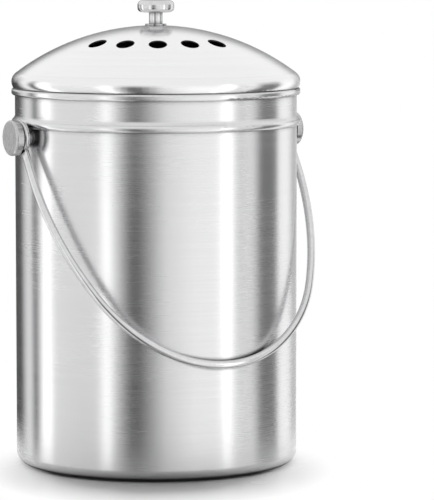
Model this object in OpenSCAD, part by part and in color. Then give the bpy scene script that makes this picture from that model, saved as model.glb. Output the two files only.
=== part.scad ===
// Round stainless steel compost bin for the kitchen counter, with a domed lid that lifts off and a wire
// bail that swings over it. Millimetres, +Z up, origin on the floor under the middle of the bin.
// The studs lie along X, and the bail hangs against the front of the bin, towards -Y.

/* [Bin] */
// Outer diameter of the wall
body_d = 174.8; // [172:0.2:176]
// Height to the top of the rolled rim
body_h = 233.4; // [228:0.2:240]
// Thickness of the sheet that the bin, dome and cup are pressed from
sheet_t = 0.8; // [0.6:0.05:0.9]
// Radius of the rounded corner at the foot of the wall
foot_corner_r = 7; // [5:0.5:10]
// Height of the recess pressed into the base
base_recess_h = 1.5; // [0.5:0.1:3]
// Width of the flat ring that the bin stands on
foot_ring_w = 12; // [8:1:20]
// Height of the middle of the bead pressed into the collar
bead_z = 212.6; // [212.4:0.1:213.4]
// Height of the bead
bead_h = 5; // [4.6:0.1:5.4]
// How far the bead stands out from the wall
bead_bulge = 2.1; // [1.5:0.1:2.2]
// Radius of the hollow by which the top of the bead runs out into the wall
bead_blend_r = 3.5; // [2.5:0.1:4.5]
// Height of the rim, where the wall is rolled over and down
rim_h = 4.3; // [3.5:0.1:6]
// How far the rolled rim stands out from the wall
rim_bulge = 2.1; // [1.5:0.1:2.2]
// Gap between the wall and the edge of the rolled rim
rim_gap = 0.5; // [0.3:0.1:0.6]

/* [Bail studs] */
// Height of the studs, on which the bail turns
stud_z = 205; // [202:0.5:205]
// Diameter of the neck that the wire eye turns on
stud_neck_d = 10.6; // [9:0.1:11]
// Diameter of the button head
stud_head_d = 21.6; // [19:0.2:22]
// Thickness of the button head
stud_head_t = 4.8; // [4:0.2:6]
// Radius of the rounding around the outer face of the head
stud_head_round = 1.4; // [0.6:0.1:2]
// Diameter of the threaded shank
stud_shank_d = 5; // [4:0.1:5.2]
// Play of the shank in the hole through the wall, on the radius
stud_hole_play = 0.2; // [0.1:0.05:0.4]
// Diameter of the spacer between the neck and the wall, which fits under the bead
spacer_d = 8.2; // [7:0.1:8.4]
// Thickness of the spacer, which keeps the neck clear of the bead
spacer_t = 1.8; // [1.6:0.1:2.2]
// Gap between the wire eye and the head
eye_side_gap = 0.5; // [0.4:0.05:0.8]
// Diameter of the washer inside the wall
inner_washer_d = 12; // [10:0.5:13]
// Thickness of the washer inside the wall
inner_washer_t = 1.2; // [1:0.1:1.5]
// Width of the cap nut across its flats
nut_flats = 8; // [8:0.5:9.5]
// Height of the six-sided part of the cap nut
nut_h = 3.2; // [2.6:0.1:4]
// Radius of the round cap on the nut
nut_cap_r = 3.5; // [3.2:0.1:4]

/* [Bail] */
// Thickness of the bail wire
wire_d = 4.8; // [4.4:0.1:4.9]
// Play of the wire eye on the neck of its stud, on the radius
eye_play = 0.05; // [0.02:0.01:0.1]
// Gap between the wall and the wire eye
eye_wall_gap = 3.3; // [2.8:0.1:3.6]
// Distance from the studs to the middle of the wire at the far end of the bail
bail_drop = 161.8; // [158:0.1:170]
// Radius of the bend that begins each side of the bail
bail_side_r = 205; // [190:1:215]
// Radius of the bend at each shoulder of the bail
bail_shoulder_r = 91.5; // [85:0.5:95]
// Gap that is left between the hanging bail and the wall
bail_rest_gap = 0.3; // [0.2:0.05:0.6]

/* [Lid] */
// How far the lid stands out from the wall
lid_overhang = 2.1; // [1.9:0.1:2.3]
// Radius of the dome, outside
dome_r = 144; // [130:1:170]
// Radius of the nose, where the dome turns down and in to its edge
lid_nose_r = 6.7; // [5.6:0.1:8]
// Height of the widest place of the lid above its edge
lid_nose_h = 3.8; // [2.6:0.1:4.4]
// Gap between the edge of the lid and the rim that it rests on
lid_seat_gap = 0.05; // [0.02:0.01:0.1]
// Turn of the lid in its seat, from the front towards the right stud
lid_turn = -27; // [-90:1:90]

/* [Vents] */
// Diameter of a vent hole
vent_d = 11.2; // [6:0.2:14]
// Radius of the circle that the vent holes lie on
vent_ring_r = 52.4; // [45:0.2:65]
// Number of vent holes
vent_count = 5; // [3:1:6]
// Angle from one vent hole to the next
vent_step = 21.9; // [20:0.1:26]

/* [Filter cup] */
// Gap between the cup and the mouth of the bin, on the radius
cup_play = 0.5; // [0.3:0.1:1]
// Depth of the cup below its flange
cup_depth = 18.4; // [14:0.2:19]
// Radius of the corner between the sleeve and the face ring
cup_corner_r = 2.2; // [1.5:0.1:3]
// Diameter of the opening in the face ring
cup_opening_d = 120.6; // [90:0.2:130]
// Height of the lip turned up around the opening
cup_lip_h = 3.4; // [2.5:0.1:5]
// Thickness of the charcoal filter
filter_t = 8; // [5:0.5:10]
// Gap between the filter and the sleeve of the cup, on the radius
filter_play = 0.4; // [0.2:0.1:1]

/* [Knob] */
// Diameter of the knob
knob_d = 22.8; // [18:0.2:30]
// Thickness of the knob
knob_t = 7.4; // [6:0.2:10]
// Radius of the rounding at the edge of the knob
knob_round = 2.8; // [1:0.1:3]
// Height of the knob's stem above its flange
knob_stem_h = 7.1; // [5:0.1:12]
// Diameter of the knob's stem
knob_stem_d = 8.5; // [7:0.1:10]
// Diameter of the flange under the stem
knob_flange_d = 13.2; // [11:0.2:18]
// Thickness of the flange under the stem
knob_flange_t = 0.9; // [0.6:0.1:3]
// Diameter of the screw that holds the knob
knob_screw_d = 4; // [3:0.1:4.5]
// Depth of the screw in the knob
knob_screw_grip = 9; // [6:0.5:11]
// Play of the screw in the flange, dome and washer, on the radius
knob_screw_play = 0.25; // [0.15:0.05:0.4]

/* [Hidden] */
$fn = 96;
// Length by which a cutting shape runs past what it cuts
past = 1;
// Small step left where two curved pieces meet, so that one of them clearly cuts the other
seam = 0.02;
// Depth by which two arcs that would only touch run into each other, so that they clearly cross
graze = 0.005;

body_r = body_d / 2;
body_in_r = body_r - sheet_t;
foot_flat_r = body_r - foot_corner_r;
// The rim's section is a flat roll with round ends
rim_end_r = (sheet_t + rim_bulge) / 2;
rim_ring_r = body_in_r + rim_end_r;
rim_top_z = body_h - rim_end_r;
rim_bottom_z = body_h - rim_h + rim_end_r;
// The bead is an arc that stands out by bead_bulge over the height bead_h
bead_arc_r = (bead_h * bead_h / 4 + bead_bulge * bead_bulge) / (2 * bead_bulge);
bead_ring_r = body_r + bead_bulge - bead_arc_r;
// The hollow over the bead is an arc that touches both the wall and the bead's arc from outside
blend_ring_r = body_r + bead_blend_r - graze;
blend_z = bead_z + sqrt(pow(bead_arc_r + bead_blend_r - graze, 2) - pow(blend_ring_r - bead_ring_r, 2));

wire_r = wire_d / 2;
eye_ring_r = stud_neck_d / 2 + eye_play + wire_r;
eye_x = body_r + eye_wall_gap + wire_r;
spacer_x = body_r + spacer_t;
stud_head_x = eye_x + wire_r + eye_side_gap;
stud_hole_r = stud_shank_d / 2 + stud_hole_play;
// The inner washer's outer face is cut to the wall
inner_washer_x = body_in_r - inner_washer_t;
nut_x = inner_washer_x - nut_h;
shank_tip_x = nut_x - nut_cap_r / 2;

// The bail's bend on each side is a side arc, a shoulder arc and half of the end arc, each tangent to the
// next. The angles are measured along the wire from the straight leg.
side_end = 25;
shoulder_end = 60;
side_reach = bail_side_r * (1 - cos(side_end));
shoulder_reach = bail_shoulder_r * (cos(side_end) - cos(shoulder_end));
bail_end_r = (eye_x - side_reach - shoulder_reach) / cos(shoulder_end);
bend_h = bail_side_r * sin(side_end) + bail_shoulder_r * (sin(shoulder_end) - sin(side_end))
    + bail_end_r * (1 - sin(shoulder_end));
leg_h = bail_drop - bend_h;
bail_rest_angle = asin((body_r + wire_r + bail_rest_gap) / bail_drop);

lid_r = body_r + lid_overhang;
flange_z = body_h + lid_seat_gap;
nose_z = flange_z + lid_nose_h;
nose_ring_r = lid_r - lid_nose_r;
dome_z = nose_z + seam - sqrt(pow(dome_r - lid_nose_r, 2) - pow(nose_ring_r, 2));
apex_z = dome_z + dome_r;

cup_r = body_in_r - cup_play;
cup_in_r = cup_r - sheet_t;
cup_face_z = flange_z - cup_depth;
cup_opening_r = cup_opening_d / 2;
cup_lip_corner_r = 1.6;
filter_z = cup_face_z + cup_lip_h;
filter_r = cup_in_r - filter_play;

knob_flange_top_z = apex_z + knob_flange_t;
knob_z = knob_flange_top_z + knob_stem_h;
knob_washer_r = 6;
knob_washer_t = 1;
knob_washer_z = dome_z + sqrt(pow(dome_r - sheet_t, 2) - pow(knob_washer_r, 2)) - knob_washer_t;
screw_head_r = 4;
screw_head_t = 2.6;
screw_top_z = knob_flange_top_z + knob_screw_grip;

steel = "silver";
bright_steel = "gainsboro";

// A ring of round section about Z
module round_ring(ring_r, section_r) {
    rotate_extrude() translate([ring_r, 0]) circle(section_r);
}

module flat_ring(outer_r, inner_r) {
    difference() {
        circle(outer_r);
        circle(inner_r);
    }
}

// One quarter of a flat ring, from the X axis to the Y axis
module quarter_ring(outer_r, inner_r) {
    intersection() {
        flat_ring(outer_r, inner_r);
        square(outer_r);
    }
}

// A solid that fills the bin out to the radius r, to cut small parts to the wall
module wall_cylinder(r) {
    cylinder(r = r, h = body_h, $fn = 360);
}

// A piece of the bail wire bent to the radius bend_r, from angle_a to angle_b, with a round end at angle_b
// that joins it to the next piece
module wire_bend(bend_r, angle_a, angle_b) {
    rotate([0, 0, angle_a]) rotate_extrude(angle = angle_b - angle_a) translate([bend_r, 0]) circle(wire_r);
    rotate([0, 0, angle_b]) translate([bend_r, 0, 0]) sphere(wire_r + seam);
}

// The flat roll of the rim, taken in by inset on every side
module rim_section(inset) {
    for (z = [rim_bottom_z, rim_top_z])
        translate([rim_ring_r, z]) circle(rim_end_r - inset);
    translate([body_in_r + inset, rim_bottom_z])
        square([2 * (rim_end_r - inset), rim_top_z - rim_bottom_z]);
}

// The bead pressed out of the wall and the hollow over it, taken in by inset
module bead_section(inset) {
    arc_share = (bead_arc_r - inset) / (bead_arc_r + bead_blend_r);
    meeting_r = bead_ring_r + (blend_ring_r - bead_ring_r) * arc_share;
    translate([bead_ring_r, bead_z]) circle(bead_arc_r - inset);
    difference() {
        translate([body_in_r - past, bead_z]) square([meeting_r - body_in_r + past, blend_z - bead_z]);
        translate([blend_ring_r, blend_z]) circle(bead_blend_r + inset);
    }
}

module wall_section() {
    difference() {
        union() {
            translate([body_in_r, foot_corner_r]) square([sheet_t, rim_top_z - foot_corner_r]);
            difference() {
                bead_section(0);
                translate([0, foot_corner_r]) square([body_in_r, body_h]);
            }
            rim_section(0);
        }
        bead_section(sheet_t);
        rim_section(sheet_t);
        // The edge of the roll stops short of the wall
        translate([body_r, rim_bottom_z - rim_end_r - past]) square([rim_gap, rim_end_r + past]);
    }
}

module base_section() {
    recess_r = foot_flat_r - foot_ring_w;
    slope_w = 2 * base_recess_h;
    translate([foot_flat_r, foot_corner_r]) mirror([0, 1]) quarter_ring(foot_corner_r, foot_corner_r - sheet_t);
    translate([recess_r, 0]) square([foot_flat_r - recess_r, sheet_t]);
    translate([0, base_recess_h]) square([recess_r - slope_w, sheet_t]);
    polygon([
        [recess_r, 0],
        [recess_r, sheet_t],
        [recess_r - slope_w, base_recess_h + sheet_t],
        [recess_r - slope_w, base_recess_h]
    ]);
}

module bin_body() {
    color(steel) difference() {
        rotate_extrude() {
            wall_section();
            base_section();
        }
        translate([-body_r - past, 0, stud_z]) rotate([0, 90, 0])
            cylinder(r = stud_hole_r, h = 2 * (body_r + past));
    }
}

// The studs and what they clamp are drawn on the right side, along +X, and mirrored for the left side
module stud() {
    color(bright_steel) translate([0, 0, stud_z]) rotate([0, 90, 0]) {
        difference() {
            translate([0, 0, stud_head_x]) cylinder(d = stud_head_d, h = stud_head_t);
            translate([0, 0, stud_head_x + stud_head_t - stud_head_round]) rotate_extrude() difference() {
                translate([stud_head_d / 2 - stud_head_round, 0]) square(stud_head_round + past);
                translate([stud_head_d / 2 - stud_head_round, 0]) circle(stud_head_round);
            }
        }
        translate([0, 0, spacer_x]) cylinder(d = stud_neck_d, h = stud_head_x - spacer_x);
        translate([0, 0, shank_tip_x]) cylinder(d = stud_shank_d, h = spacer_x - shank_tip_x);
    }
}

module spacer() {
    color(steel) difference() {
        translate([0, 0, stud_z]) rotate([0, 90, 0]) difference() {
            translate([0, 0, body_in_r]) cylinder(d = spacer_d, h = spacer_x - body_in_r);
            cylinder(d = stud_shank_d, h = eye_x);
        }
        wall_cylinder(body_r);
    }
}

module inner_washer() {
    color(steel) intersection() {
        translate([0, 0, stud_z]) rotate([0, 90, 0]) translate([0, 0, inner_washer_x]) difference() {
            cylinder(d = inner_washer_d, h = sheet_t + inner_washer_t);
            cylinder(d = stud_shank_d, h = sheet_t + inner_washer_t);
        }
        wall_cylinder(body_in_r);
    }
}

module cap_nut() {
    color(bright_steel) translate([0, 0, stud_z]) rotate([0, 90, 0]) difference() {
        union() {
            translate([0, 0, nut_x]) cylinder(d = nut_flats / cos(30), h = nut_h, $fn = 6);
            intersection() {
                translate([0, 0, nut_x]) sphere(nut_cap_r);
                cylinder(r = nut_cap_r, h = nut_x + nut_h / 2);
            }
        }
        translate([0, 0, shank_tip_x]) cylinder(d = stud_shank_d, h = eye_x);
    }
}

module right_stud() {
    stud();
}

module left_stud() {
    mirror([1, 0, 0]) stud();
}

module right_spacer() {
    spacer();
}

module left_spacer() {
    mirror([1, 0, 0]) spacer();
}

module right_inner_washer() {
    inner_washer();
}

module left_inner_washer() {
    mirror([1, 0, 0]) inner_washer();
}

module right_cap_nut() {
    cap_nut();
}

module left_cap_nut() {
    mirror([1, 0, 0]) cap_nut();
}

// One side of the bail, in the XY plane: the stud is at the origin's height and the bail reaches along -Y
module bail_side() {
    translate([eye_x, 0, 0]) rotate([0, 90, 0]) round_ring(eye_ring_r, wire_r);
    translate([eye_x, -eye_ring_r, 0]) rotate([90, 0, 0]) cylinder(r = wire_r, h = leg_h - eye_ring_r);
    translate([eye_x - bail_side_r, -leg_h, 0]) wire_bend(bail_side_r, -side_end, 0);
    translate([
        eye_x - side_reach - bail_shoulder_r * cos(side_end),
        -leg_h - (bail_side_r - bail_shoulder_r) * sin(side_end),
        0
    ]) wire_bend(bail_shoulder_r, -shoulder_end, -side_end);
}

module bail_handle() {
    color(steel) translate([0, 0, stud_z]) rotate([90 - bail_rest_angle, 0, 0]) {
        bail_side();
        mirror([1, 0, 0]) bail_side();
        translate([0, bail_end_r - bail_drop, 0]) {
            wire_bend(bail_end_r, shoulder_end - 180, -shoulder_end);
            rotate([0, 0, shoulder_end - 180]) translate([bail_end_r, 0, 0]) sphere(wire_r + seam);
        }
    }
}

// Section of the dome: a thin arc about the middle of the dome, and the nose, which begins a little way
// under the dome's edge and ends flat on the rim
module dome_section() {
    joint_angle = 12 + acos(nose_ring_r / (dome_r - lid_nose_r));
    reach = 2 * lid_nose_r;
    intersection() {
        translate([0, dome_z]) flat_ring(dome_r, dome_r - sheet_t, $fn = 360);
        polygon([[0, dome_z], [2 * nose_ring_r, 2 * nose_z - dome_z], [0, 2 * nose_z - dome_z]]);
    }
    translate([nose_ring_r, nose_z]) intersection() {
        flat_ring(lid_nose_r, lid_nose_r - sheet_t);
        polygon([
            [0, -lid_nose_h],
            [reach, -lid_nose_h],
            [reach, reach],
            [reach * cos(joint_angle), reach * sin(joint_angle)],
            [0, 0]
        ]);
    }
}

module lid_dome() {
    color(bright_steel) rotate([0, 0, lid_turn]) difference() {
        rotate_extrude() dome_section();
        for (i = [0 : vent_count - 1])
            rotate([0, 0, (i - (vent_count - 1) / 2) * vent_step - 90])
                translate([vent_ring_r, 0, nose_z]) cylinder(d = vent_d, h = apex_z);
        translate([0, 0, nose_z]) cylinder(r = knob_screw_d / 2 + knob_screw_play, h = apex_z);
    }
}

module cup_section() {
    lip_x = cup_opening_r;
    // Flange out to the inside of the dome's nose
    intersection() {
        translate([cup_in_r, flange_z]) square([lid_r - cup_in_r, sheet_t]);
        translate([nose_ring_r, nose_z]) circle(lid_nose_r - sheet_t);
    }
    // Sleeve, corner, face ring and the lip that is turned up around the opening
    translate([cup_in_r, cup_face_z + cup_corner_r]) square([sheet_t, cup_depth - cup_corner_r]);
    translate([cup_r - cup_corner_r, cup_face_z + cup_corner_r]) mirror([0, 1])
        quarter_ring(cup_corner_r, cup_corner_r - sheet_t);
    translate([lip_x + cup_lip_corner_r, cup_face_z])
        square([cup_r - cup_corner_r - lip_x - cup_lip_corner_r, sheet_t]);
    translate([lip_x + cup_lip_corner_r, cup_face_z + cup_lip_corner_r]) rotate([0, 0, 180])
        quarter_ring(cup_lip_corner_r, cup_lip_corner_r - sheet_t);
    translate([lip_x, cup_face_z + cup_lip_corner_r]) square([sheet_t, cup_lip_h - cup_lip_corner_r]);
}

module lid_cup() {
    color(steel) rotate_extrude() cup_section();
}

module charcoal_filter() {
    color([0.2, 0.2, 0.2]) translate([0, 0, filter_z]) cylinder(r = filter_r, h = filter_t);
}

module lid_knob() {
    knob_r = knob_d / 2;
    color(bright_steel) rotate_extrude() difference() {
        union() {
            translate([0, knob_flange_top_z]) square([knob_stem_d / 2, knob_stem_h + knob_t / 2]);
            translate([0, knob_z]) square([knob_r - knob_round, knob_t]);
            translate([0, knob_z + knob_round]) square([knob_r, knob_t - 2 * knob_round]);
            for (z = [knob_z + knob_round, knob_z + knob_t - knob_round])
                translate([knob_r - knob_round, z]) circle(knob_round);
        }
        translate([0, knob_flange_top_z - past]) square([knob_screw_d / 2, knob_screw_grip + past]);
    }
}

module knob_flange() {
    hole_r = knob_screw_d / 2 + knob_screw_play;
    color(bright_steel) rotate_extrude() difference() {
        translate([hole_r, nose_z]) square([knob_flange_d / 2 - hole_r, knob_flange_top_z - nose_z]);
        translate([0, dome_z]) circle(dome_r, $fn = 360);
    }
}

module knob_washer() {
    color(steel) translate([0, 0, knob_washer_z]) difference() {
        cylinder(r = knob_washer_r, h = knob_washer_t);
        cylinder(r = knob_screw_d / 2 + knob_screw_play, h = knob_washer_t);
    }
}

module knob_screw() {
    head_z = knob_washer_z - screw_head_t;
    slot_w = 1;
    slot_h = 1.2;
    color(steel) difference() {
        union() {
            translate([0, 0, head_z]) cylinder(r = screw_head_r, h = screw_head_t);
            translate([0, 0, knob_washer_z]) cylinder(d = knob_screw_d, h = screw_top_z - knob_washer_z);
        }
        for (turn = [0, 90])
            rotate([0, 0, turn]) translate([-screw_head_r / 2, -slot_w / 2, head_z - past])
                cube([screw_head_r, slot_w, slot_h + past]);
    }
}

bin_body();
left_stud();
right_stud();
left_spacer();
right_spacer();
left_inner_washer();
right_inner_washer();
left_cap_nut();
right_cap_nut();
bail_handle();
lid_dome();
lid_cup();
charcoal_filter();
lid_knob();
knob_flange();
knob_washer();
knob_screw();
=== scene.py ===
"""Looks of the compost bin: brushed and polished steel, charcoal foam, a pale floor and soft studio light.
Metres, in the frame of the CAD part: +Z up, the studs along X, the bail hangs against the front, to -Y."""

import math
import random

import bmesh
import bpy
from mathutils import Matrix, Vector


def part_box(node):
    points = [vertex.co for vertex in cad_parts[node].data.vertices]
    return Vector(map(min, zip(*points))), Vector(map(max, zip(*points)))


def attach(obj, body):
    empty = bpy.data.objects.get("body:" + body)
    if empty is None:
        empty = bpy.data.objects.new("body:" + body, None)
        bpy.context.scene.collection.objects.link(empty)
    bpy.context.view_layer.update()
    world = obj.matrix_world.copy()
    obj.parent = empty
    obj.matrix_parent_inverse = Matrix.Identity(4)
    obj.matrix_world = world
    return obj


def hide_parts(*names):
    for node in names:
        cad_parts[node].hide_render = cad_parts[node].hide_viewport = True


MM = 0.001

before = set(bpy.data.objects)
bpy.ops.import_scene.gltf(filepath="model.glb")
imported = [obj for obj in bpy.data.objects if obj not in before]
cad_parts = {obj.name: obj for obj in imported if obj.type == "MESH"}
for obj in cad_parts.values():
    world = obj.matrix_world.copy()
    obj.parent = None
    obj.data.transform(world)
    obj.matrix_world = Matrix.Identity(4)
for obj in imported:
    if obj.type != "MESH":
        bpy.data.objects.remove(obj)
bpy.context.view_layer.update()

# ---------------------------------------------------------------- camera
# The camera stands in front and to the left, and looks slightly down
CAMERA_TURN = 28.27          # degrees from -Y towards -X
CAMERA_DISTANCE = 1.9894     # from the axis of the bin, along the floor
CAMERA_HEIGHT = 0.3315
CAMERA_HEADING = 1.09        # degrees that the camera looks to the right of the axis
CAMERA_PITCH = 5.73          # degrees downwards
CAMERA_LENS = 230.9
CAMERA_SENSOR = 36
CAMERA_CLIP = 0.05, 50


def around(turn, distance, height=0.0):
    """A point at this distance from the axis. turn is in degrees from the camera's side, positive to the
    right in the picture."""
    a = math.radians(turn - CAMERA_TURN)
    return Vector((distance * math.sin(a), -distance * math.cos(a), height))


def make_camera():
    data = bpy.data.cameras.new("camera")
    data.lens = CAMERA_LENS
    data.sensor_width = CAMERA_SENSOR
    data.clip_start, data.clip_end = CAMERA_CLIP
    camera = bpy.data.objects.new("camera", data)
    bpy.context.scene.collection.objects.link(camera)
    camera.location = around(0, CAMERA_DISTANCE, CAMERA_HEIGHT)
    heading = math.radians(CAMERA_TURN + CAMERA_HEADING)
    pitch = math.radians(CAMERA_PITCH)
    level = math.cos(pitch)
    forward = Vector((math.sin(heading) * level, math.cos(heading) * level, -math.sin(pitch)))
    camera.rotation_mode = "QUATERNION"
    camera.rotation_quaternion = forward.to_track_quat("-Z", "Y")
    bpy.context.scene.camera = camera


make_camera()


# ---------------------------------------------------------------- node helpers
NOISE_ROUGHNESS = 0.55
QUARTER_TURN = 0.25
# Numbers of a mix node's sockets: its first and second value, and its result
MIX_COLOUR_SOCKETS = 6, 7, 2
MIX_NUMBER_SOCKETS = 2, 3, 0


class Maker:
    """Builds the node tree of one material."""

    def __init__(self, name):
        self.material = bpy.data.materials.new(name)
        self.material.use_nodes = True
        self.tree = self.material.node_tree
        self.shader = self.tree.nodes["Principled BSDF"]
        self.output = self.tree.nodes["Material Output"]
        self.place = self.add("ShaderNodeTexCoord").outputs["Object"]

    def add(self, kind, **settings):
        node = self.tree.nodes.new(kind)
        for key, value in settings.items():
            setattr(node, key, value)
        return node

    def link(self, source, target):
        self.tree.links.new(source, target)

    def stretched(self, scale):
        """Object coordinates scaled by a different number along each axis."""
        node = self.add("ShaderNodeMapping")
        node.inputs["Scale"].default_value = scale
        self.link(self.place, node.inputs["Vector"])
        return node.outputs["Vector"]

    def even(self, scale):
        """Object coordinates scaled by the same number along each axis."""
        return self.stretched((scale, scale, scale))

    def radius(self):
        """The distance from the axis."""
        flat = self.add("ShaderNodeVectorMath", operation="MULTIPLY")
        flat.inputs[1].default_value = (1, 1, 0)
        self.link(self.place, flat.inputs[0])
        length = self.add("ShaderNodeVectorMath", operation="LENGTH")
        self.link(flat.outputs["Vector"], length.inputs[0])
        return length.outputs["Value"]

    def turned(self, along, across):
        """Coordinates that run fast away from the axis and slowly along the circles about it."""
        split = self.add("ShaderNodeSeparateXYZ")
        self.link(self.place, split.inputs[0])
        joined = self.add("ShaderNodeCombineXYZ")
        scaled = ((split.outputs["X"], along), (split.outputs["Y"], along), (self.radius(), across))
        for (value, factor), socket in zip(scaled, joined.inputs):
            self.link(self.math("MULTIPLY", value, factor), socket)
        return joined.outputs[0]

    def noise(self, vector, detail=3.0):
        node = self.add("ShaderNodeTexNoise")
        node.inputs["Scale"].default_value = 1.0
        node.inputs["Detail"].default_value = detail
        node.inputs["Roughness"].default_value = NOISE_ROUGHNESS
        self.link(vector, node.inputs["Vector"])
        return node.outputs["Fac"]

    def ramp(self, value, low, high, low_at=0.35, high_at=0.65):
        """Maps a noise value to the range from low to high."""
        node = self.add("ShaderNodeMapRange")
        node.inputs["From Min"].default_value = low_at
        node.inputs["From Max"].default_value = high_at
        node.inputs["To Min"].default_value = low
        node.inputs["To Max"].default_value = high
        self.link(value, node.inputs["Value"])
        return node.outputs["Result"]

    def math(self, operation, a, b):
        node = self.add("ShaderNodeMath", operation=operation)
        for value, socket in ((a, node.inputs[0]), (b, node.inputs[1])):
            if isinstance(value, (int, float)):
                socket.default_value = value
            else:
                self.link(value, socket)
        return node.outputs[0]

    def blend(self, a, share_a, b, share_b):
        """The sum of two values, each times its share."""
        return self.math("ADD", self.math("MULTIPLY", a, share_a), self.math("MULTIPLY", b, share_b))

    def colours(self, value, *stops):
        """A colour ramp: stops are (position, (r, g, b))."""
        node = self.add("ShaderNodeValToRGB")
        elements = node.color_ramp.elements
        for element, (position, colour) in zip(elements, stops):
            element.position = position
            element.color = (*colour, 1)
        self.link(value, node.inputs["Fac"])
        return node.outputs["Color"]

    def overlay(self, socket, share, value):
        """Mixes a fixed value over what a socket of the shader gets, by a share that varies."""
        colour = isinstance(value, tuple)
        node = self.add("ShaderNodeMix", data_type="RGBA" if colour else "FLOAT")
        first, second, result = MIX_COLOUR_SOCKETS if colour else MIX_NUMBER_SOCKETS
        node.inputs[second].default_value = value
        self.link(share, node.inputs[0])
        self.link(socket.links[0].from_socket, node.inputs[first])
        self.link(node.outputs[result], socket)

    def bump(self, height, distance):
        node = self.add("ShaderNodeBump")
        node.inputs["Distance"].default_value = distance
        self.link(height, node.inputs["Height"])
        self.link(node.outputs["Normal"], self.shader.inputs["Normal"])

    def tangent(self):
        """Grain that runs round the Z axis and spreads highlights across itself."""
        node = self.add("ShaderNodeTangent", direction_type="RADIAL", axis="Z")
        self.link(node.outputs["Tangent"], self.shader.inputs["Tangent"])
        self.shader.inputs["Anisotropic Rotation"].default_value = QUARTER_TURN


# ---------------------------------------------------------------- steel
STEEL_IOR = 2.5
BROAD_GRAIN = 0.22                      # how fast the broad grain runs as a share of the fine one
FINE_SHARE, BROAD_SHARE = 0.6, 0.4
GRAIN_DARK_AT, GRAIN_LIGHT_AT = 0.32, 0.66
CLOUD_SCALE = 14, 14, 9
# Painted shade in grooves and where parts meet: ambient occlusion darkens the steel's colour towards a near
# black
PAINTED_SHADE_SAMPLES = 6
PAINTED_SHADE_REACH = 3 * MM
PAINTED_SHADE_FULL, PAINTED_SHADE_NONE = 0.50, 0.90     # how open a groove is where its painted shade is full and where it ends
PAINTED_SHADE_COLOUR = (0.05, 0.05, 0.05, 1)
VENT_UPRIGHT, VENT_SLOPED = 0.05, 0.15  # how level a normal is on a vent's wall, and on the dome beside it
VENT_ZONE = 66 * MM, 68 * MM            # from the axis, where the zone of the vents ends
# painted shade: the near black colour given to the walls of the vent holes
VENT_SHADE_COLOUR = (0.05, 0.05, 0.05, 1)
VENT_ROUGHNESS = 0.6


def metal(name, light, dark, grain, roughness, bump_depth, anisotropy=0.0, smudge=0.04, crevice_shade=0.0,
          edges=None):
    """A steel with grain. grain(maker, share) gives the coordinates that the grain follows. light and dark
    are the two ends of its colour, and roughness is the least and the most. edges(maker) adds more."""
    m = Maker(name)
    s = m.shader
    s.inputs["Metallic"].default_value = 1.0
    s.inputs["IOR"].default_value = STEEL_IOR
    fine = m.noise(grain(m, 1.0), detail=4.0)
    broad = m.noise(grain(m, BROAD_GRAIN))
    cloud = m.noise(m.stretched(CLOUD_SCALE), detail=2.0)
    both = m.blend(fine, FINE_SHARE, broad, BROAD_SHARE)
    m.link(m.colours(both, (GRAIN_DARK_AT, dark), (GRAIN_LIGHT_AT, light)), s.inputs["Base Color"])
    m.link(m.math("ADD", m.ramp(both, *roughness), m.ramp(cloud, 0.0, smudge)), s.inputs["Roughness"])
    m.bump(both, bump_depth)
    if anisotropy:
        s.inputs["Anisotropic"].default_value = anisotropy
        m.tangent()
    # painted shade: the colour is darkened in grooves and where parts meet
    if crevice_shade:
        paint_crevice_shade(m, crevice_shade)
    if edges:
        edges(m)
    return m.material


def paint_crevice_shade(m, amount):
    """Painted shade: ambient occlusion darkens the steel's colour in narrow grooves and where parts meet."""
    open_sky = m.add("ShaderNodeAmbientOcclusion", samples=PAINTED_SHADE_SAMPLES)
    open_sky.inputs["Distance"].default_value = PAINTED_SHADE_REACH
    crevice_shade_share = m.ramp(open_sky.outputs["AO"], amount, 0.0, PAINTED_SHADE_FULL, PAINTED_SHADE_NONE)
    m.overlay(m.shader.inputs["Base Color"], crevice_shade_share, PAINTED_SHADE_COLOUR)


def painted_shade_vent_walls(m):
    """Painted shade, and a dull roughness, on the walls inside the punched vent holes: faces that stand
    upright near the top of the dome.
    """
    normal = m.add("ShaderNodeSeparateXYZ")
    m.link(m.add("ShaderNodeNewGeometry").outputs["True Normal"], normal.inputs[0])
    slope = m.math("ABSOLUTE", normal.outputs["Z"], 0)
    walls = m.math("MULTIPLY", m.ramp(slope, 1.0, 0.0, VENT_UPRIGHT, VENT_SLOPED),
                   m.ramp(m.radius(), 1.0, 0.0, *VENT_ZONE))
    m.overlay(m.shader.inputs["Base Color"], walls, VENT_SHADE_COLOUR)
    m.overlay(m.shader.inputs["Roughness"], walls, VENT_ROUGHNESS)


# The grains' scales, in noise cells to a metre: low along the grain and high across it
def level_grain(m, share):
    """Brushing that runs level round the wall."""
    return m.stretched((26 * share, 26 * share, 2600 * share))


def spun_grain(m, share):
    """Marks of spinning, in circles about the axis."""
    return m.turned(26 * share, 2400 * share)


def face_grain(m, share):
    """Straight brushing over the faces of the studs."""
    return m.stretched((60 * share, 2400 * share, 240 * share))


def plain_grain(m, share):
    """A fine, even surface without a direction."""
    return m.even(700 * share)


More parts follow.
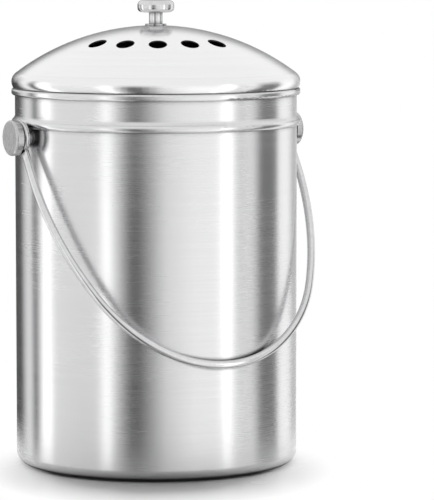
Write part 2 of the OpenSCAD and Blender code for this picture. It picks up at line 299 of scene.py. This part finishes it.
# Painted shade: the brushed, polished, chrome and stud steels get their colour darkened in grooves and where
# parts meet
brushed = metal("brushed_wall", (0.725, 0.725, 0.73), (0.685, 0.685, 0.69), level_grain,
                (0.22, 0.26), 0.000007, anisotropy=0.7, crevice_shade=0.85)
spun = metal("spun_cup", (0.72, 0.72, 0.725), (0.62, 0.62, 0.625), spun_grain,
             (0.22, 0.34), 0.00003, anisotropy=0.6)
polished = metal("polished_dome", (0.86, 0.86, 0.865), (0.82, 0.82, 0.825), spun_grain,
                 (0.13, 0.19), 0.000004, anisotropy=0.3, crevice_shade=0.85, edges=painted_shade_vent_walls)
chrome = metal("bright_chrome", (0.71, 0.71, 0.715), (0.61, 0.61, 0.62), plain_grain,
               (0.06, 0.11), 0.000006, smudge=0.03, crevice_shade=0.8)
stud_steel = metal("stud_steel", (0.54, 0.54, 0.545), (0.47, 0.47, 0.475), face_grain,
                   (0.20, 0.28), 0.00001, crevice_shade=0.8)
plain = metal("plain_steel", (0.62, 0.62, 0.63), (0.46, 0.46, 0.47), plain_grain,
              (0.28, 0.42), 0.00002)

FINISH = {
    brushed: ["bin_body"],
    spun: ["lid_cup"],
    polished: ["lid_dome"],
    chrome: ["bail_handle", "lid_knob", "knob_flange", "left_cap_nut", "right_cap_nut"],
    stud_steel: ["left_stud", "right_stud"],
    plain: ["left_spacer", "right_spacer", "left_inner_washer", "right_inner_washer",
            "knob_washer", "knob_screw"],
}
for finish, names in FINISH.items():
    for name in names:
        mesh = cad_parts[name].data
        mesh.materials.clear()
        mesh.materials.append(finish)


# ---------------------------------------------------------------- the charcoal filter
FOAM_CELLS, FOAM_STRANDS, FOAM_DUST = 620, 900, 45        # noise cells to a metre
FOAM_CELL_SHARE, FOAM_STRAND_SHARE, FOAM_DUST_SHARE = 0.7, 0.4, 0.12
FOAM_DEEP = 0.25, (0.012, 0.012, 0.013)
FOAM_DUSTY = 0.8, (0.075, 0.075, 0.074)
FOAM_SHEEN = 0.15
FOAM_DEPTH = 0.0009


def foam_material():
    m = Maker("charcoal_foam")
    s = m.shader
    cells = m.add("ShaderNodeTexVoronoi", feature="F1")
    cells.inputs["Scale"].default_value = FOAM_CELLS
    m.link(m.place, cells.inputs["Vector"])
    strands = m.noise(m.even(FOAM_STRANDS))
    dust = m.noise(m.even(FOAM_DUST))
    mixed = m.blend(cells.outputs["Distance"], FOAM_CELL_SHARE, strands, FOAM_STRAND_SHARE)
    tone = m.math("ADD", mixed, m.ramp(dust, -FOAM_DUST_SHARE, FOAM_DUST_SHARE))
    m.link(m.colours(tone, FOAM_DEEP, FOAM_DUSTY), s.inputs["Base Color"])
    m.link(m.ramp(strands, 0.8, 1.0), s.inputs["Roughness"])
    s.inputs["Sheen Weight"].default_value = FOAM_SHEEN
    m.bump(mixed, FOAM_DEPTH)
    return m.material


FILTER_IN, FILTER_LOW = 0.25 * MM, 0.03 * MM     # how far the foam stays inside the CAD disc
FILTER_EDGE = 1.6 * MM                           # radius of its soft edge
FILTER_RINGS, FILTER_EDGE_RINGS, FILTER_SPOKES = 62, 9, 300
FILTER_ROUGH, FILTER_EDGE_ROUGH = 0.35 * MM, 0.15 * MM
FILTER_HOLLOW = 0.2 * MM                         # depth of its middle point
FILTER_SEED = 4


def make_filter():
    """A disc of open foam with soft edges and a surface of small cells, inside the CAD disc."""
    low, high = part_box("charcoal_filter")
    middle = (low.z + high.z) / 2
    half = (high.z - low.z) / 2 - FILTER_LOW
    flat = high.x - FILTER_IN - FILTER_EDGE
    chance = random.Random(FILTER_SEED)
    mesh = bmesh.new()

    def ring(r, z, rough):
        made = []
        for k in range(FILTER_SPOKES):
            a = 2 * math.pi * k / FILTER_SPOKES
            dip = -rough * chance.random()
            side = 1 if z > middle else -1
            made.append(mesh.verts.new((r * math.cos(a), r * math.sin(a), z + side * dip)))
        return made

    radii = [flat * i / FILTER_RINGS for i in range(1, FILTER_RINGS + 1)]
    loops = [ring(r, middle + half, FILTER_ROUGH) for r in radii]
    for k in range(1, FILTER_EDGE_RINGS):
        a = math.pi * k / FILTER_EDGE_RINGS
        loops.append(ring(flat + FILTER_EDGE * math.sin(a), middle + half * math.cos(a), FILTER_EDGE_ROUGH))
    loops += [ring(r, middle - half, FILTER_ROUGH) for r in reversed(radii)]
    for a, b in zip(loops, loops[1:]):
        for k in range(FILTER_SPOKES):
            n = (k + 1) % FILTER_SPOKES
            mesh.faces.new((a[k], b[k], b[n], a[n]))
    for loop, side in ((loops[0], 1), (loops[-1], -1)):
        centre = mesh.verts.new((0, 0, middle + side * (half - FILTER_HOLLOW)))
        for k in range(FILTER_SPOKES):
            n = (k + 1) % FILTER_SPOKES
            mesh.faces.new((centre, loop[k], loop[n]) if side > 0 else (centre, loop[n], loop[k]))
    data = bpy.data.meshes.new("foam_filter")
    mesh.to_mesh(data)
    mesh.free()
    piece = bpy.data.objects.new("foam_filter", data)
    bpy.context.scene.collection.objects.link(piece)
    for face in data.polygons:
        face.use_smooth = True
    data.materials.append(foam_material())
    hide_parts("charcoal_filter")
    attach(piece, "lid")


make_filter()


# ---------------------------------------------------------------- floor
FLOOR_SIZE = 8.0
FLOOR_GRAIN = 9
FLOOR_DARK = 0.3, (0.97, 0.97, 0.97)
FLOOR_LIGHT = 0.7, (0.985, 0.985, 0.985)
FLOOR_ROUGHNESS = 0.25, 0.28
FLOOR_IOR = 1.15
FLOOR_SHADE_FORWARD = 0.03      # from the bin's axis to the middle of its shadow
FLOOR_SHADE_NARROWER = 1.3      # the shadow's depth as a share of its width
FLOOR_WHITE = 0.085, 0.14       # distances from the shadow's middle over which the floor turns white


def stage_plane(name, corners, faces, material):
    data = bpy.data.meshes.new(name)
    data.from_pydata([tuple(c) for c in corners], [], faces)
    data.materials.append(material)
    plane = bpy.data.objects.new(name, data)
    bpy.context.scene.collection.objects.link(plane)
    return plane


def floor_material():
    """A pale floor. Away from the bin the camera sees it as white as the background."""
    m = Maker("floor")
    s = m.shader
    fine = m.noise(m.even(FLOOR_GRAIN))
    m.link(m.colours(fine, FLOOR_DARK, FLOOR_LIGHT), s.inputs["Base Color"])
    m.link(m.ramp(fine, *FLOOR_ROUGHNESS), s.inputs["Roughness"])
    s.inputs["IOR"].default_value = FLOOR_IOR
    forward = m.add("ShaderNodeVectorMath", operation="DOT_PRODUCT")
    forward.inputs[1].default_value = around(0, 1.0)
    sideways = m.add("ShaderNodeVectorMath", operation="DOT_PRODUCT")
    sideways.inputs[1].default_value = around(90, FLOOR_SHADE_NARROWER)
    for turned in (forward, sideways):
        m.link(m.place, turned.inputs[0])
    spot = m.add("ShaderNodeCombineXYZ")
    m.link(m.math("SUBTRACT", forward.outputs["Value"], FLOOR_SHADE_FORWARD), spot.inputs["X"])
    m.link(sideways.outputs["Value"], spot.inputs["Y"])
    away = m.add("ShaderNodeVectorMath", operation="LENGTH")
    m.link(spot.outputs["Vector"], away.inputs[0])
    whiten = m.ramp(away.outputs["Value"], 0.0, 1.0, *FLOOR_WHITE)
    seen = m.add("ShaderNodeLightPath").outputs["Is Camera Ray"]
    white = m.add("ShaderNodeEmission")
    mix = m.add("ShaderNodeMixShader")
    m.link(m.math("MULTIPLY", whiten, seen), mix.inputs["Fac"])
    m.link(s.outputs[0], mix.inputs[1])
    m.link(white.outputs[0], mix.inputs[2])
    m.link(mix.outputs[0], m.output.inputs["Surface"])
    return m.material


stage_plane("floor", [(-FLOOR_SIZE, -FLOOR_SIZE, 0), (FLOOR_SIZE, -FLOOR_SIZE, 0),
                      (FLOOR_SIZE, FLOOR_SIZE, 0), (-FLOOR_SIZE, FLOOR_SIZE, 0)], [(0, 1, 2, 3)],
            floor_material())


# ---------------------------------------------------------------- cards
WALL_RADIUS = 0.0875
CARD_STEPS, CARD_ROWS = 10, 8
CARD_HEIGHT, CARD_LIFT = 0.42, 0.001
CARD_NEAR = 0.11                            # from the axis to a card's near edge on the floor
CARD_SOFT_TOP, CARD_SOFT_NEAR = 0.5, 0.25   # shares of its height and depth over which a card fades out
TURN_ROUNDS = 8
# Name, left and right edge, brightness, softness of the left and right edge, distance. Angles in degrees
CARDS = [
    ("dark_back_left", -175, -122, 0.05, 12, 14, 0.5),
    ("dark_left", -115, -101, 0.08, 6, 5, 0.48),
    ("bright_left", -101, -84, 1.75, 5, 5, 0.46),
    ("bright_front", -44, -31, 1.65, 6, 4, 0.46),
    ("dark_front", -31, 7, 0.10, 12, 20, 0.48),
    ("bright_wide", 8, 72, 1.15, 20, 4, 0.5),
    ("bright_right", 48, 60, 2.1, 4, 4, 0.46),
    ("grey_right", 60, 72, 0.76, 4, 5, 0.48),
    ("dark_right", 79, 110, 0.17, 8, 5, 0.48),
    ("bright_back", 108, 133, 1.2, 4, 10, 0.5),
    ("grey_back", 132, 160, 0.55, 8, 8, 0.52),
]


def card_material(name, glow, soft_left, soft_right):
    """A card with soft edges. glow is its brightness as a share of the white background's, and soft_left
    and soft_right are the shares of its width over which it fades out. v is -1 at its near edge on the
    floor, 0 where it is bent up and 1 at its top."""
    m = Maker(name)
    m.tree.nodes.remove(m.shader)
    shader = m.add("ShaderNodeEmission")
    shader.inputs["Strength"].default_value = glow
    across = m.add("ShaderNodeSeparateXYZ")
    m.link(m.add("ShaderNodeTexCoord").outputs["UV"], across.inputs[0])
    u, v = across.outputs["X"], across.outputs["Y"]
    left = m.ramp(u, 0.0, 1.0, 0.0, soft_left)
    right = m.ramp(u, 0.0, 1.0, 1.0, 1.0 - soft_right)
    top = m.ramp(v, 0.0, 1.0, 1.0, 1.0 - CARD_SOFT_TOP)
    near = m.ramp(v, 0.0, 1.0, -1.0, CARD_SOFT_NEAR - 1.0)
    mix = m.add("ShaderNodeMixShader")
    m.link(m.math("MULTIPLY", m.math("MULTIPLY", left, right), m.math("MULTIPLY", top, near)),
           mix.inputs["Fac"])
    m.link(m.add("ShaderNodeBsdfTransparent").outputs[0], mix.inputs[1])
    m.link(shader.outputs[0], mix.inputs[2])
    m.link(mix.outputs[0], m.output.inputs["Surface"])
    return m.material


def turn_at(turn, card_distance, distance):
    """The turn at which a ray passes a distance from the axis, when it comes from the camera, is turned away
    by the wall and reaches a card at card_distance at the given turn."""
    off = math.radians(turn) / 2
    for _ in range(TURN_ROUNDS):
        off = (math.radians(turn) + math.asin(WALL_RADIUS * math.sin(off) / card_distance)) / 2
    return math.degrees(2 * off - math.asin(WALL_RADIUS * math.sin(off) / distance))


def bent_card(name, left, right, glow, soft_left, soft_right, distance):
    """A card round the bin from one turn to the other, which lies on the floor near the bin and is bent up
    at its distance. It shows only in what the steel reflects."""
    width = right - left
    material = card_material(name, glow, soft_left / width, soft_right / width)
    rows = [(CARD_NEAR + (distance - CARD_NEAR) * i / CARD_ROWS, CARD_LIFT, i / CARD_ROWS - 1)
            for i in range(CARD_ROWS + 1)]
    rows.append((distance, CARD_HEIGHT, 1))
    corners, places, faces = [], [], []
    for row, (near, height, v) in enumerate(rows):
        for i in range(CARD_STEPS + 1):
            turn = turn_at(left + width * i / CARD_STEPS, distance, near)
            corners.append(around(turn, near, height))
            places.append((i / CARD_STEPS, v))
            if row and i:
                last = len(corners) - 1
                faces.append((last - CARD_STEPS - 2, last - CARD_STEPS - 1, last, last - 1))
    card = stage_plane(name, corners, faces, material)
    uv = card.data.uv_layers.new(name="across")
    for loop in card.data.loops:
        uv.data[loop.index].uv = places[loop.vertex_index]
    card.visible_camera = False
    card.visible_diffuse = False
    card.visible_shadow = False


for card in CARDS:
    bent_card("card_" + card[0], *card[1:])


# ---------------------------------------------------------------- light
# Cosines of the angles from straight behind the bin between which the surroundings turn grey
BACK_WIDE, BACK_NARROW = 0.87, 0.99
BACK_GREY = 0.28
# The light on the floor, as a share of its most, and the cosines from straight behind where each is reached
LIGHT_FRONT, LIGHT_FRONT_AT = 0.03, 0.0
LIGHT_BACK_AT = 0.75
LIGHT_MOST = 3.2


def studio_world():
    """White to the camera. The steel reflects it grey behind the bin, which gives it darker outlines. The
    light on the floor comes mainly from behind, so the bin's shadow lies in front of it."""
    world = bpy.data.worlds.new("studio")
    bpy.context.scene.world = world
    world.use_nodes = True
    nodes, link = world.node_tree.nodes, world.node_tree.links.new
    behind = nodes.new("ShaderNodeVectorMath")
    behind.operation = "DOT_PRODUCT"
    behind.inputs[1].default_value = around(180, 1.0)
    link(nodes.new("ShaderNodeTexCoord").outputs["Generated"], behind.inputs[0])

    def sky(first, first_at, second, second_at, interpolation):
        """A background whose grey goes from first to second towards straight behind."""
        shade = nodes.new("ShaderNodeValToRGB")
        shade.color_ramp.interpolation = interpolation
        for element, grey, at in zip(shade.color_ramp.elements, (first, second), (first_at, second_at)):
            element.position = at
            element.color = (grey, grey, grey, 1)
        link(behind.outputs["Value"], shade.inputs["Fac"])
        background = nodes.new("ShaderNodeBackground")
        link(shade.outputs["Color"], background.inputs["Color"])
        return background

    def chosen(rays, others, own):
        """One shader for a kind of rays and another for the rest."""
        mix = nodes.new("ShaderNodeMixShader")
        link(rays, mix.inputs["Fac"])
        link(others.outputs[0], mix.inputs[1])
        link(own.outputs[0], mix.inputs[2])
        return mix

    light = sky(LIGHT_FRONT, LIGHT_FRONT_AT, 1, LIGHT_BACK_AT, "LINEAR")
    light.inputs["Strength"].default_value = LIGHT_MOST
    reflected = sky(1, BACK_WIDE, BACK_GREY, BACK_NARROW, "EASE")
    white = nodes["Background"]
    white.inputs["Color"].default_value = (1, 1, 1, 1)
    ray = nodes.new("ShaderNodeLightPath").outputs
    unseen = chosen(ray["Is Glossy Ray"], light, reflected)
    link(chosen(ray["Is Camera Ray"], unseen, white).outputs[0], nodes["World Output"].inputs["Surface"])


studio_world()
bpy.context.scene.view_settings.view_transform = "Standard"
